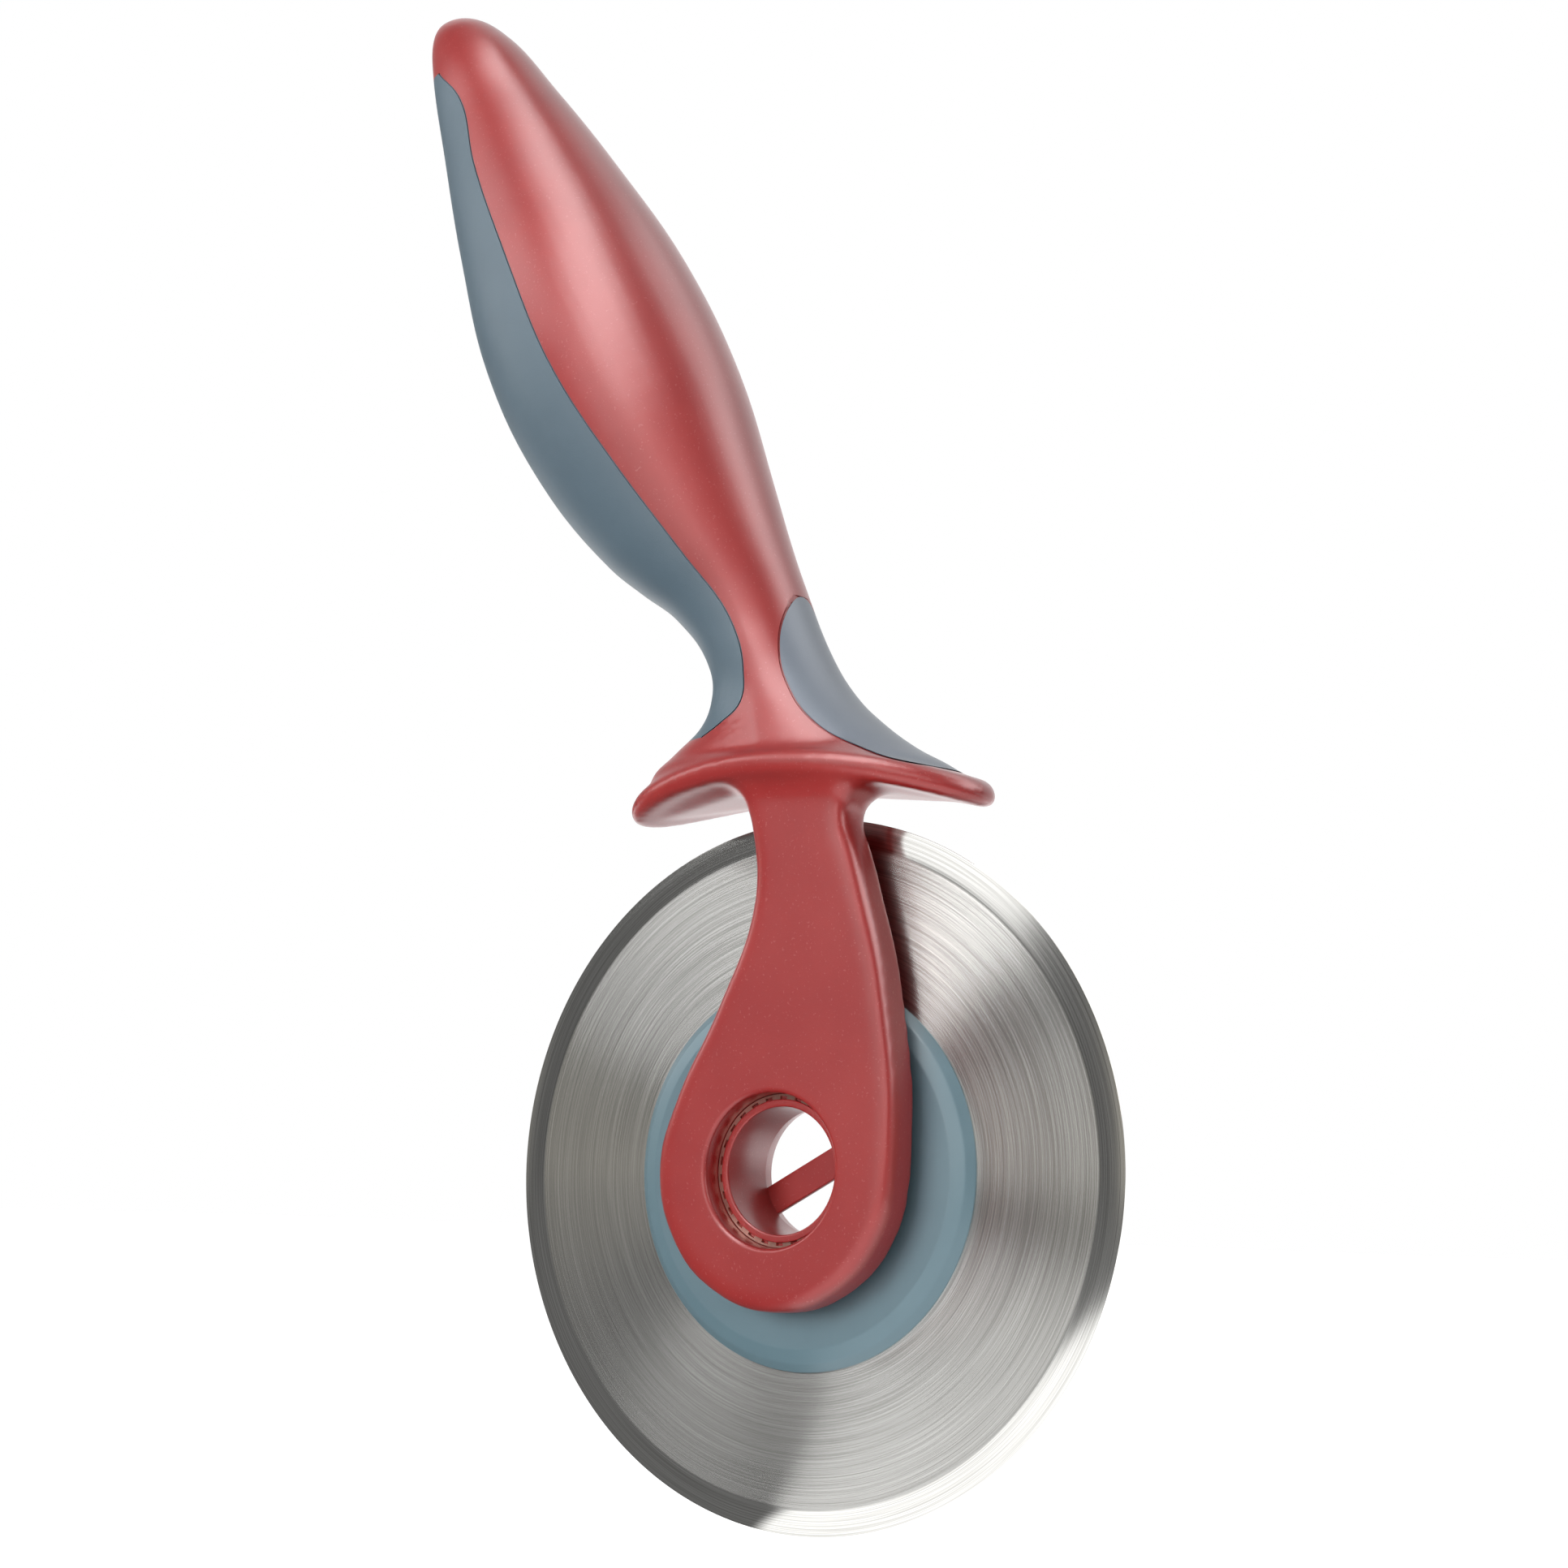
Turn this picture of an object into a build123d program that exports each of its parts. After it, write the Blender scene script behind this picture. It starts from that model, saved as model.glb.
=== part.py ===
from build123d import *
import os
from math import cos, radians, sin

os.makedirs("parts", exist_ok=True)

# A pizza cutter wheel, in millimetres, +Z up, with its origin at the centre of the wheel.
# The wheel turns about Y. The single arm stands in front of it, on the -Y side, and the
# handle rises from the guard and leans to -X.

# Wheel: a bevelled disc clamped between two moulded hub halves
blade_radius = 50.8
blade_thickness = 0.8
blade_edge_thickness = 0.2
bevel_width = 3.6
hub_radius = 28.2
hub_face_radius = 25.0
hub_flange_thickness = 1.9
hub_rim_thickness = 0.2
hub_sleeve_radius = 13.4
clamp_clearance = 0.1
drive_pin_count = 6
drive_pin_radius = 1.5
drive_pin_circle_radius = 20.0
drive_pin_reach = 1.1

# Axle: a hollow spindle with a shoulder, a rear flange and a finger bar across its far end
axle_bore_radius = 9.0
axle_seat_radius = 10.05
axle_bearing_radius = 10.6
axle_flange_radius = 15.0
axle_flange_thickness = 2.5
axle_flange_round = 0.8
axle_mouth_flare = 0.5
axle_nose_recess = 3.1
finger_bar_width = 4.2
finger_bar_thickness = 1.0
finger_bar_angle = 28.5
running_clearance = 0.08
seat_clearance = 0.03

# Thrust washers, one on each side of the hub
front_washer_thickness = 0.8
rear_washer_thickness = 0.5
washer_width = 4.0
thrust_clearance = 0.1

# Arm: a flat tapering plate whose round boss carries the axle
arm_thickness = 6.6
boss_radius = 19.8
arm_front_round = 2.0
arm_rear_round = 0.4
recess_radius = 10.9
recess_depth = 3.9
recess_lip_round = 0.35
arm_length = 57.5
arm_neck_offset = 3.2
arm_neck_width = 16.8
boss_left_angle = 148
boss_right_angle = 6

# Lock ring: a toothed steel ring pressed onto the nose of the axle, inside the arm's recess
ring_thickness = 0.5
ring_band_width = 0.3
ring_tooth_count = 26
ring_tooth_width = 1.35
ring_clearance = 0.1

# Guard: an oval plate, bent down at its two wings
guard_height = 57.7
guard_offset = -1.5
guard_crown_offset = -0.9
guard_half_length = 30.5
guard_half_depth = 13.6
guard_thickness = 4.0
guard_droop = 5.1
guard_edge_round = 1.8

# Handle: a swelling grip that leans away from the wheel, from its neck to its tip
neck_height = 74.0
neck_offset = -8.2
handle_rise = 114.0
handle_sweep = 66.0
swell_half_width = 18.5
swell_half_depth = 15.4
grip_skin = 2.2
shell_wall = 4.8
core_clearance = 0.2
core_web_thickness = 3.0
core_rib_thickness = 2.0
core_rib_count = 7

overrun = 5.0

# Places along the wheel's axis, from the arm's front face to the axle's flange
half_blade = blade_thickness / 2
hub_face_y = half_blade + hub_flange_thickness
arm_rear_y = -(hub_face_y + front_washer_thickness + 2 * thrust_clearance)
arm_front_y = arm_rear_y - arm_thickness
recess_floor_y = arm_front_y + recess_depth
axle_nose_y = arm_front_y + axle_nose_recess
flange_front_y = hub_face_y + rear_washer_thickness + 2 * thrust_clearance
flange_rear_y = flange_front_y + axle_flange_thickness
hub_bore_radius = axle_bearing_radius + running_clearance
blade_bore_radius = hub_sleeve_radius + clamp_clearance

# Sections of the handle: share of its rise, share of its sweep, lean of the section in degrees,
# then half width and half depth as shares of the swell's
handle_section_shares = [
    (0.00, 0.003, 3, 0.526, 0.579),
    (0.09, 0.096, 14, 0.558, 0.608),
    (0.145, 0.173, 19, 0.673, 0.713),
    (0.20, 0.242, 24, 0.783, 0.813),
    (0.35, 0.402, 29, 0.983, 0.993),
    (0.51, 0.564, 30, 1.001, 1.001),
    (0.67, 0.714, 31, 0.826, 0.826),
    (0.82, 0.852, 31, 0.601, 0.610),
    (0.94, 0.967, 31, 0.382, 0.416),
    (0.980, 1.018, 31, 0.235, 0.26),
    (0.996, 1.052, 31, 0.09, 0.10),
]

# Sections of the flare from the guard up to the neck: share of the height between them, share of
# the offset between them, then the shares of the way that its half length and its half depth grow
# from the neck's to the guard's
flare_section_shares = [
    (-0.400, -0.25, 0.890, 0.506),
    (-0.260, -0.22, 0.871, 0.593),
    (-0.036, 0.20, 0.767, 0.506),
    (0.198, 0.42, 0.493, 0.361),
    (0.431, 0.48, 0.248, 0.245),
    (0.665, 0.68, 0.103, 0.129),
]

# Arm's two sides between the boss and the guard: share of the neck's width outside the neck, and
# share of the arm's length, then the way that each side runs into the guard
arm_left_shares = [(0.31, 0.40), (-0.03, 0.66), (0.01, 0.84), (0.09, 0.91), (0.17, 0.97), (0.26, 1.0)]
arm_right_shares = [(0.36, 0.455), (0.14, 0.69), (0.03, 0.79), (-0.06, 0.86), (-0.05, 0.91), (0.06, 0.955), (0.20, 1.0)]
arm_top_slope = 0.6

# First and last core rib as shares of the handle's rise, and the lean that all of them have
core_first_share = 0.20
core_last_share = 0.85
core_middle_share = 0.5
core_rib_lean = 30

# Middle of the hub's sloping rim: share of the way out to its edge, and share of its height
hub_slope_out_share = 0.62
hub_slope_height_share = 0.6


def section_plane(x, z, lean):
    """A plane across the handle, its X along the section's width in the XZ plane."""
    tilt = radians(lean)
    return Plane(origin=(x, 0, z), x_dir=(cos(tilt), 0, sin(tilt)), z_dir=(-sin(tilt), 0, cos(tilt)))


def handle_place(rise_share, sweep_share):
    return neck_offset - sweep_share * handle_sweep, neck_height + rise_share * handle_rise


def handle_blank(inset, first_section, with_flare):
    """The handle's outer form, drawn in by the inset on every side."""
    neck_half_width = swell_half_width * handle_section_shares[0][3]
    neck_half_depth = swell_half_depth * handle_section_shares[0][4]
    with BuildPart() as blank:
        if with_flare:
            for height_share, offset_share, length_share, depth_share in flare_section_shares:
                x = guard_offset + offset_share * (neck_offset - guard_offset)
                z = guard_height + height_share * (neck_height - guard_height)
                half_length = neck_half_width + length_share * (guard_half_length - neck_half_width)
                half_depth = neck_half_depth + depth_share * (guard_half_depth - neck_half_depth)
                with BuildSketch(section_plane(x, z, 0)):
                    Ellipse(half_length - inset, half_depth - inset)
        for rise_share, sweep_share, lean, width_share, depth_share in handle_section_shares[first_section:]:
            x, z = handle_place(rise_share, sweep_share)
            if swell_half_width * width_share > 2 * inset:
                with BuildSketch(section_plane(x, z, lean)):
                    Ellipse(swell_half_width * width_share - inset, swell_half_depth * depth_share - inset)
        loft()
    return blank.part


outer_form = handle_blank(0, 0, True)
under_skins = handle_blank(grip_skin, 0, True)

# Finger grip and thumb pad: the soft skins lie flush in the shell. Their outlines are drawn in the
# XZ plane as places along the handle's rise and sweep, and reach past the handle on their own side.
grip_outline_shares = [
    (0.900, 0.985),
    (0.845, 0.885),
    (0.735, 0.802),
    (0.560, 0.632),
    (0.405, 0.482),
    (0.265, 0.309),
    (0.140, 0.145),
    (0.045, 0.025),
    (-0.020, -0.010),
    (-0.060, -0.005),
    (-0.083, 0.045),
    (-0.100, 0.100),
]
pad_outline_shares = [
    (0.090, -0.070),
    (0.020, -0.078),
    (-0.034, -0.112),
    (-0.092, -0.200),
    (-0.127, -0.314),
    (-0.147, -0.415),
    (-0.155, -0.520),
]


def places(shares):
    return [handle_place(rise_share, sweep_share) for rise_share, sweep_share in shares]


def skin(outline_shares, side):
    """A soft skin as deep as the grip skin, inside an outline that runs past the handle's side."""
    edge = places(outline_shares)
    reach = side * handle_sweep
    with BuildPart() as zone:
        with BuildSketch(Plane.XZ):
            with BuildLine():
                border = Spline(*edge)
                far_end = (border @ 1).X + reach, (border @ 1).Y
                far_start = (border @ 0).X + reach, (border @ 0).Y
                Polyline(border @ 1, far_end, far_start, border @ 0)
            make_face()
        extrude(amount=guard_half_length, both=True)
    with BuildPart() as layer:
        add(outer_form)
        add(under_skins, mode=Mode.SUBTRACT)
        add(zone.part, mode=Mode.INTERSECT)
    return layer.part


with BuildPart() as finger_grip:
    add(skin(grip_outline_shares, -1))
finger_grip.part.label = "finger_grip"
export_step(finger_grip.part, "parts/finger_grip.step")

with BuildPart() as thumb_pad:
    add(skin(pad_outline_shares, 1))
thumb_pad.part.label = "thumb_pad"
export_step(thumb_pad.part, "parts/thumb_pad.step")

# Guard plate: an oval between two cylinders about Y, so that its wings hang down
guard_bend_radius = guard_half_length**2 / (2 * guard_droop)
guard_bend_centre = guard_height - guard_bend_radius
with BuildPart() as guard_plate:
    with BuildSketch(section_plane(guard_offset, guard_height - guard_half_depth, 0)):
        Ellipse(guard_half_length, guard_half_depth)
    extrude(amount=2 * guard_half_depth)
    with BuildSketch(Plane.XZ):
        with Locations((guard_crown_offset, guard_bend_centre)):
            Circle(guard_bend_radius + guard_thickness / 2)
            Circle(guard_bend_radius - guard_thickness / 2, mode=Mode.SUBTRACT)
    extrude(amount=guard_half_length, both=True, mode=Mode.INTERSECT)
    fillet(guard_plate.edges(), guard_edge_round)

# Space under the guard, which the flare above it doesn't reach into
with BuildPart() as guard_underside:
    with BuildSketch(Plane.XZ):
        with Locations((guard_crown_offset, guard_bend_centre)):
            Circle(guard_bend_radius - guard_thickness / 4)
    extrude(amount=guard_half_length, both=True)

# Arm: its outline follows the boss circle round the bottom and draws in to the guard
arm_left = arm_neck_offset - arm_neck_width / 2
arm_right = arm_neck_offset + arm_neck_width / 2


def boss_place(angle):
    return boss_radius * cos(radians(angle)), boss_radius * sin(radians(angle))


def arm_side(foot_angle, edge, side_shares, side):
    """One side of the arm, from the boss up to the guard."""
    way = [(edge + side * out_share * arm_neck_width, up_share * arm_length) for out_share, up_share in side_shares]
    turn = radians(foot_angle)
    return Spline(
        boss_place(foot_angle),
        *way,
        tangents=[(-side * sin(turn), side * cos(turn)), (side, arm_top_slope)],
    )


with BuildPart() as arm:
    with BuildSketch(Plane.XZ.offset(-arm_front_y)):
        with BuildLine():
            ThreePointArc(boss_place(boss_left_angle), (0, -boss_radius), boss_place(boss_right_angle))
            left_edge = arm_side(boss_left_angle, arm_left, arm_left_shares, -1)
            right_edge = arm_side(boss_right_angle, arm_right, arm_right_shares, 1)
            Line(left_edge @ 1, right_edge @ 1)
        make_face()
    extrude(amount=-arm_thickness)
    side_edges = arm.edges().filter_by(Axis.Y, reverse=True)
    fillet(side_edges.group_by(Axis.Y)[0].filter_by(GeomType.LINE, reverse=True), arm_front_round)
    fillet(arm.edges().group_by(Axis.Y)[-1].filter_by(GeomType.LINE, reverse=True), arm_rear_round)

# Handle shell: swell, neck, guard and arm in one moulding, hollow for its core
with BuildPart() as handle_shell:
    add(outer_form)
    add(guard_underside.part, mode=Mode.SUBTRACT)
    add(guard_plate.part)
    add(arm.part)
    add(finger_grip.part, mode=Mode.SUBTRACT)
    add(thumb_pad.part, mode=Mode.SUBTRACT)
    add(handle_blank(shell_wall, 1, False), mode=Mode.SUBTRACT)
    with BuildSketch(Plane.XZ.offset(-arm_front_y)):
        Circle(recess_radius)
    extrude(amount=-recess_depth, mode=Mode.SUBTRACT)
    with BuildSketch(Plane.XZ.offset(-arm_rear_y - arm_thickness / 2)):
        Circle(axle_seat_radius + seat_clearance)
    extrude(amount=arm_thickness, both=True, mode=Mode.SUBTRACT)
    recess_mouth = handle_shell.edges().filter_by(GeomType.CIRCLE).filter_by(
        lambda edge: abs(edge.radius - recess_radius) < seat_clearance
    )
    fillet(recess_mouth.sort_by(Axis.Y)[0], recess_lip_round)
handle_shell.part.label = "handle_shell"
export_step(handle_shell.part, "parts/handle_shell.step")

# Handle core: a web along the handle with cross ribs, filling the shell's hollow
with BuildPart() as handle_core:
    with BuildSketch(Plane.XZ):
        with Locations(handle_place(core_middle_share, core_middle_share)):
            Rectangle(2 * handle_rise, 2 * handle_rise)
    extrude(amount=core_web_thickness / 2, both=True)
    for rib in range(core_rib_count):
        rib_share = core_first_share + (core_last_share - core_first_share) * rib / (core_rib_count - 1)
        x, z = handle_place(rib_share, rib_share)
        with BuildSketch(section_plane(x, z, core_rib_lean)):
            Rectangle(4 * swell_half_width, 4 * swell_half_depth)
        extrude(amount=core_rib_thickness / 2, both=True)
    add(handle_blank(shell_wall + core_clearance, 1, False), mode=Mode.INTERSECT)
handle_core.part.label = "handle_core"
export_step(handle_core.part, "parts/handle_core.step")

# Blade: a flat disc with a bevel ground on each side of its rim, and holes for the drive pins
bevel_start = blade_radius - bevel_width
half_edge = blade_edge_thickness / 2
with BuildPart() as blade:
    with BuildSketch(Plane.XY):
        with BuildLine():
            Polyline(
                (blade_bore_radius, -half_blade),
                (bevel_start, -half_blade),
                (blade_radius, -half_edge),
                (blade_radius, half_edge),
                (bevel_start, half_blade),
                (blade_bore_radius, half_blade),
                close=True,
            )
        make_face()
    revolve(axis=Axis.Y)
    with BuildSketch(Plane.XZ):
        with PolarLocations(drive_pin_circle_radius, drive_pin_count):
            Circle(drive_pin_radius + clamp_clearance)
    extrude(amount=blade_thickness, both=True, mode=Mode.SUBTRACT)
blade.part.label = "blade"
export_step(blade.part, "parts/blade.step")


def hub_profile(inner_radius, side):
    """Half section of a hub flange, its sloping rim outside its flat face."""
    inner = side * half_blade
    rim = side * (half_blade + hub_rim_thickness)
    face = side * hub_face_y
    slope_middle = (
        hub_face_radius + hub_slope_out_share * (hub_radius - hub_face_radius),
        rim + hub_slope_height_share * (face - rim),
    )
    Polyline((hub_radius, rim), (hub_radius, inner), (inner_radius, inner), (inner_radius, face))
    Line((inner_radius, face), (hub_face_radius, face))
    ThreePointArc((hub_face_radius, face), slope_middle, (hub_radius, rim))


# Front hub half: the flange that shows, with the sleeve that runs on the axle
with BuildPart() as hub_front:
    with BuildSketch(Plane.XY):
        with BuildLine():
            hub_profile(hub_bore_radius, -1)
        make_face()
    revolve(axis=Axis.Y)
    with BuildSketch(Plane.XZ.offset(half_blade)):
        Circle(hub_sleeve_radius)
        Circle(hub_bore_radius, mode=Mode.SUBTRACT)
    extrude(amount=-(half_blade + hub_face_y))
    with BuildSketch(Plane.XZ.offset(half_blade)):
        with PolarLocations(drive_pin_circle_radius, drive_pin_count):
            Circle(drive_pin_radius + seat_clearance)
    extrude(amount=drive_pin_reach + clamp_clearance, mode=Mode.SUBTRACT)
hub_front.part.label = "hub_front"
export_step(hub_front.part, "parts/hub_front.step")

# Rear hub half: a flange whose drive pins pass through the blade into the front half
with BuildPart() as hub_rear:
    with BuildSketch(Plane.XY):
        with BuildLine():
            hub_profile(hub_sleeve_radius + seat_clearance, 1)
        make_face()
    revolve(axis=Axis.Y)
    with BuildSketch(Plane.XZ.offset(-half_blade)):
        with PolarLocations(drive_pin_circle_radius, drive_pin_count):
            Circle(drive_pin_radius)
    extrude(amount=blade_thickness + drive_pin_reach)
hub_rear.part.label = "hub_rear"
export_step(hub_rear.part, "parts/hub_rear.step")

# Axle: tube, shoulder and flange turned about Y, and the bar across its far end
with BuildPart() as axle:
    with BuildSketch(Plane.XY):
        with BuildLine():
            Polyline(
                (axle_bore_radius, axle_nose_y),
                (axle_seat_radius, axle_nose_y),
                (axle_seat_radius, arm_rear_y),
                (axle_bearing_radius, arm_rear_y),
                (axle_bearing_radius, flange_front_y),
                (axle_flange_radius, flange_front_y),
                (axle_flange_radius, flange_rear_y),
                (axle_bore_radius + axle_mouth_flare, flange_rear_y),
                (axle_bore_radius, flange_front_y),
                close=True,
            )
        make_face()
    revolve(axis=Axis.Y)
    fillet(axle.edges().group_by(Axis.Y)[-1].sort_by(SortBy.LENGTH)[-1], axle_flange_round)
    with BuildSketch(Plane.XZ.offset(-flange_front_y)):
        Rectangle(2 * (axle_bore_radius + axle_mouth_flare), finger_bar_width, rotation=finger_bar_angle)
    extrude(amount=-finger_bar_thickness)
axle.part.label = "axle"
export_step(axle.part, "parts/axle.step")


def washer(radius, front, thickness):
    """A flat ring about Y, from its front face rearwards."""
    with BuildPart() as ring:
        with BuildSketch(Plane.XZ.offset(-front)):
            Circle(radius + washer_width)
            Circle(radius, mode=Mode.SUBTRACT)
        extrude(amount=-thickness)
    return ring.part


# Thrust washers: they keep the hub off the arm and off the axle's flange
with BuildPart() as front_washer:
    add(washer(axle_bearing_radius + seat_clearance, arm_rear_y + thrust_clearance, front_washer_thickness))
front_washer.part.label = "front_washer"
export_step(front_washer.part, "parts/front_washer.step")

with BuildPart() as rear_washer:
    add(washer(axle_bearing_radius + seat_clearance, hub_face_y + thrust_clearance, rear_washer_thickness))
rear_washer.part.label = "rear_washer"
export_step(rear_washer.part, "parts/rear_washer.step")

# Lock ring: a thin band on the recess floor with teeth that bite on the axle's nose
ring_outer = recess_radius - ring_clearance
ring_inner = ring_outer - ring_band_width
tooth_length = ring_inner - axle_seat_radius
with BuildPart() as lock_ring:
    with BuildSketch(Plane.XZ.offset(-recess_floor_y)):
        Circle(ring_outer)
        Circle(ring_inner, mode=Mode.SUBTRACT)
        with PolarLocations(ring_inner - tooth_length / 2, ring_tooth_count):
            Rectangle(tooth_length + ring_band_width, ring_tooth_width)
        Circle(axle_seat_radius, mode=Mode.SUBTRACT)
    extrude(amount=ring_thickness)
lock_ring.part.label = "lock_ring"
export_step(lock_ring.part, "parts/lock_ring.step")
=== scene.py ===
from math import cos, exp, pi, radians, sin, tan

import bpy
from mathutils import Matrix, Vector


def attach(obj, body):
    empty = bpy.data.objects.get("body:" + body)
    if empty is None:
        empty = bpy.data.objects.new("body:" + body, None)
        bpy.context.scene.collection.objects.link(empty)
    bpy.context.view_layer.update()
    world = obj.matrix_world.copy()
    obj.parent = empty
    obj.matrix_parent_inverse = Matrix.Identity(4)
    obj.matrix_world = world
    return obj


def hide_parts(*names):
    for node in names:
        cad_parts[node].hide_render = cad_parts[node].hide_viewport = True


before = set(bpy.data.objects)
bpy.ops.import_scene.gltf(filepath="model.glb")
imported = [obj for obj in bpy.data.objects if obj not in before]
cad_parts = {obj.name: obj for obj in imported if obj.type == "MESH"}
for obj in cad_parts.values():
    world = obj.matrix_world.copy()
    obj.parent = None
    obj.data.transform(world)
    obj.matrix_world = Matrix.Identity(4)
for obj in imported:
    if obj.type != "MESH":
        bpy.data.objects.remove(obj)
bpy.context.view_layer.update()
mm = 0.001

# Camera: it stands in front of the wheel, to its right and a little below the handle, where the
# photographer stood, and is turned a touch about its own axis.
camera_azimuth = radians(33.507)
camera_elevation = radians(-8.2)
camera_roll = radians(1.69)
camera_distance = 420 * mm
camera_aside = 3.206 * mm
camera_above = -55.505 * mm
camera_sensor = 36.0
image_side = 1932
focal_pixels = 3616.2

towards_camera = Vector((
    sin(camera_azimuth) * cos(camera_elevation),
    -cos(camera_azimuth) * cos(camera_elevation),
    sin(camera_elevation),
))
level_right = Vector((cos(camera_azimuth), sin(camera_azimuth), 0))
level_up = towards_camera.cross(level_right)
camera_right = level_right * cos(camera_roll) + level_up * sin(camera_roll)
camera_up = level_up * cos(camera_roll) - level_right * sin(camera_roll)
camera_place = (
    towards_camera * camera_distance - camera_right * camera_aside - camera_up * camera_above
)
bpy.ops.object.camera_add()
camera = bpy.context.object
camera.name = "camera"
camera.matrix_world = Matrix.Translation(camera_place) @ Matrix(
    (camera_right, camera_up, towards_camera)
).transposed().to_4x4()
camera.data.sensor_width = camera_sensor
camera.data.lens = focal_pixels * camera_sensor / image_side
camera.data.clip_start = 10 * mm
camera.data.clip_end = 20
bpy.context.scene.camera = camera
bpy.context.scene.view_settings.view_transform = "Standard"

# Wheel's blade: a flat disc of stainless steel, brushed round and round on both faces, with a
# bevel ground on each side of its rim. It is clamped between the two halves of the hub.
blade_radius = 50.8
blade_bore = 13.5
blade_half = 0.4
blade_edge_half = 0.1
bevel_start = 47.2
bevel_shoulder_round = 3.0
blade_edge_round = 0.05
blade_steps = 256
weld_distance = 0.002


class Wire:
    """A socket in a finish's nodes. Sums on wires add Math nodes."""

    def __init__(self, finish, socket):
        self.finish = finish
        self.socket = socket

    def maths(self, operation, *others):
        values = dict(enumerate((self, *others)))
        return self.finish.node("Math", {"operation": operation}, values)

    def __add__(self, other):
        return self.maths("ADD", other)

    def __sub__(self, other):
        return self.maths("SUBTRACT", other)

    def __mul__(self, other):
        return self.maths("MULTIPLY", other)

    def __rsub__(self, other):
        return self.finish.node("Math", {"operation": "SUBTRACT"}, {0: other, 1: self})

    __radd__ = __add__
    __rmul__ = __mul__

    def between(self, low, high):
        """0 below the low value, 1 above the high one, with a soft step."""
        return self.finish.node(
            "MapRange",
            {"interpolation_type": "SMOOTHSTEP"},
            {0: self, 1: low, 2: high, 3: 0.0, 4: 1.0},
        )


class Finish:
    """A material, or the world, whose nodes are added by one method."""

    def __init__(self, name, owner=None):
        self.owner = owner or bpy.data.materials.new(name)
        self.owner.use_nodes = True
        self.tree = self.owner.node_tree
        self.shader = self.tree.nodes.get("Principled BSDF")

    def node(self, kind, settings=None, sockets=None, output=0):
        made = self.tree.nodes.new("ShaderNode" + kind)
        for name, value in (settings or {}).items():
            setattr(made, name, value)
        for name, value in (sockets or {}).items():
            self.join(value, made.inputs[name])
        return Wire(self, made.outputs[output])

    def join(self, value, socket):
        if isinstance(value, Wire):
            self.tree.links.new(value.socket, socket)
        elif socket.type == "RGBA":
            socket.default_value = (*value, 1)
        else:
            socket.default_value = value

    def surface(self, look):
        self.join(look, self.tree.nodes["Material Output"].inputs["Surface"])

    def place(self):
        return self.node("TexCoord", output="Object")

    def parts_of(self, vector):
        """The three numbers of a vector."""
        split = self.node("SeparateXYZ", None, {0: vector}).socket.node
        return [Wire(self, socket) for socket in split.outputs]

    def noise(self, vector, scale, detail, roughness):
        return self.node(
            "TexNoise",
            None,
            {"Vector": vector, "Scale": scale, "Detail": detail, "Roughness": roughness},
        )

    def mix(self, factor, a, b):
        return self.node("Mix", {"data_type": "RGBA"}, {"Factor": factor, 6: a, 7: b}, output=2)

    def shade(self, **sockets):
        for name, value in sockets.items():
            self.join(value, self.shader.inputs[name.replace("_", " ")])

    def bump(self, height, distance):
        return self.node("Bump", None, {"Height": height, "Distance": distance})


def fresh():
    """Nothing selected, and object mode."""
    if bpy.context.object and bpy.context.object.mode != "OBJECT":
        bpy.ops.object.mode_set(mode="OBJECT")
    bpy.ops.object.select_all(action="DESELECT")


def chosen(piece):
    """The piece alone selected and active, in object mode."""
    fresh()
    piece.select_set(True)
    bpy.context.view_layer.objects.active = piece


def apply_place():
    """The active object's place, turn and scale put into its mesh."""
    bpy.ops.object.transform_apply(location=True, rotation=True, scale=True)


def edit_all():
    """Edit mode, with the whole mesh selected."""
    bpy.ops.object.mode_set(mode="EDIT")
    bpy.ops.mesh.select_all(action="SELECT")


def outward():
    """Normals of the mesh being edited turned outward, then object mode."""
    bpy.ops.mesh.select_all(action="SELECT")
    bpy.ops.mesh.normals_make_consistent(inside=False)
    bpy.ops.object.mode_set(mode="OBJECT")


def settle(piece, name, material, smooth_angle=35):
    """Names a finished piece, puts its place in its mesh, and shades it."""
    chosen(piece)
    apply_place()
    bpy.ops.object.mode_set(mode="EDIT")
    outward()
    bpy.ops.object.shade_smooth_by_angle(angle=radians(smooth_angle))
    piece.name = name
    piece.data.name = name
    piece.data.materials.clear()
    piece.data.materials.append(material)
    return piece


def turned(profile, steps):
    """A ring turned about Y: a circle pulled out along a closed profile of (radius, y), in mm."""
    fresh()
    radius, y = profile[0]
    bpy.ops.mesh.primitive_circle_add(
        vertices=steps, radius=radius * mm, location=(0, y * mm, 0), rotation=(pi / 2, 0, 0)
    )
    piece = bpy.context.object
    apply_place()
    edit_all()
    for next_radius, next_y in profile[1:] + profile[:1]:
        step = (0, (next_y - y) * mm, 0)
        bpy.ops.mesh.extrude_region_move(TRANSFORM_OT_translate={"value": step})
        share = next_radius / radius
        bpy.ops.transform.resize(value=(share, 1, share), center_override=(0, next_y * mm, 0))
        radius, y = next_radius, next_y
    bpy.ops.mesh.select_all(action="SELECT")
    bpy.ops.mesh.remove_doubles(threshold=weld_distance * mm)
    outward()
    return piece


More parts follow.
